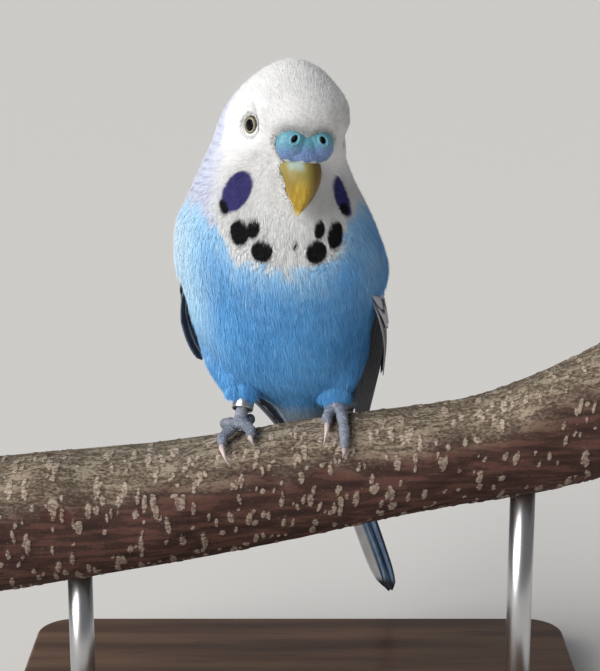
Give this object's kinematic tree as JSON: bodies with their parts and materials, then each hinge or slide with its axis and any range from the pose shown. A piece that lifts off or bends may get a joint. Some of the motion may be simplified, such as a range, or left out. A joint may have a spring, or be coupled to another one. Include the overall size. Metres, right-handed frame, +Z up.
{
  "type": "budgerigar",
  "caption": "Life-size still model of a blue and white budgerigar gripping a cut length of branch, held over a flat display base by short rods.",
  "frame": {"origin": "centre of the underside of the stand's base", "axes": "+Z up, -Y towards the viewer the bird faces, +X along the perch to the bird's left"},
  "size_m": [0.15, 0.1242, 0.1765],
  "materials": {
    "white_feather": "soft white head and bib feathers, faintly lavender on the nape",
    "blue_feather": "soft sky-blue body feathers with fine paler streaks",
    "wing_feather": "dark grey wing feathers with pale edges",
    "tail_feather": "dark blue tail feathers",
    "cere": "smooth waxy blue skin round the nostrils",
    "beak": "yellow to olive horn with a soft gloss",
    "eye": "wet black eye with a pale iris ring",
    "foot_skin": "grey-blue scaly skin",
    "claw": "pale horn",
    "band_metal": "plain worn metal band",
    "bark": "grey-brown bark with pale lenticels, sawn pale ends",
    "stained_wood": "dark stained wood, satin",
    "steel": "brushed"
  },
  "bodies": {
    "root": {"beak_lower": "beak", "beak_upper": "beak", "cere": "cere", "claw_left_back_inner": "claw", "claw_left_back_outer": "claw", "claw_left_inner": "claw", "claw_left_outer": "claw", "claw_right_back_inner": "claw", "claw_right_back_outer": "claw", "claw_right_inner": "claw", "claw_right_outer": "claw", "eye_left": "eye", "eye_right": "eye", "foot_left": "foot_skin", "foot_right": "foot_skin", "head": "white_feather", "leg_ring": "band_metal", "neck": "white_feather", "perch": "bark", "rump": "blue_feather", "stand_base": "stained_wood", "stand_rod_left": "steel", "stand_rod_right": "steel", "tail": "tail_feather", "thigh_left": "blue_feather", "thigh_right": "blue_feather", "torso": "blue_feather", "wing_left": "wing_feather", "wing_right": "wing_feather"}
  },
  "joints": []
}
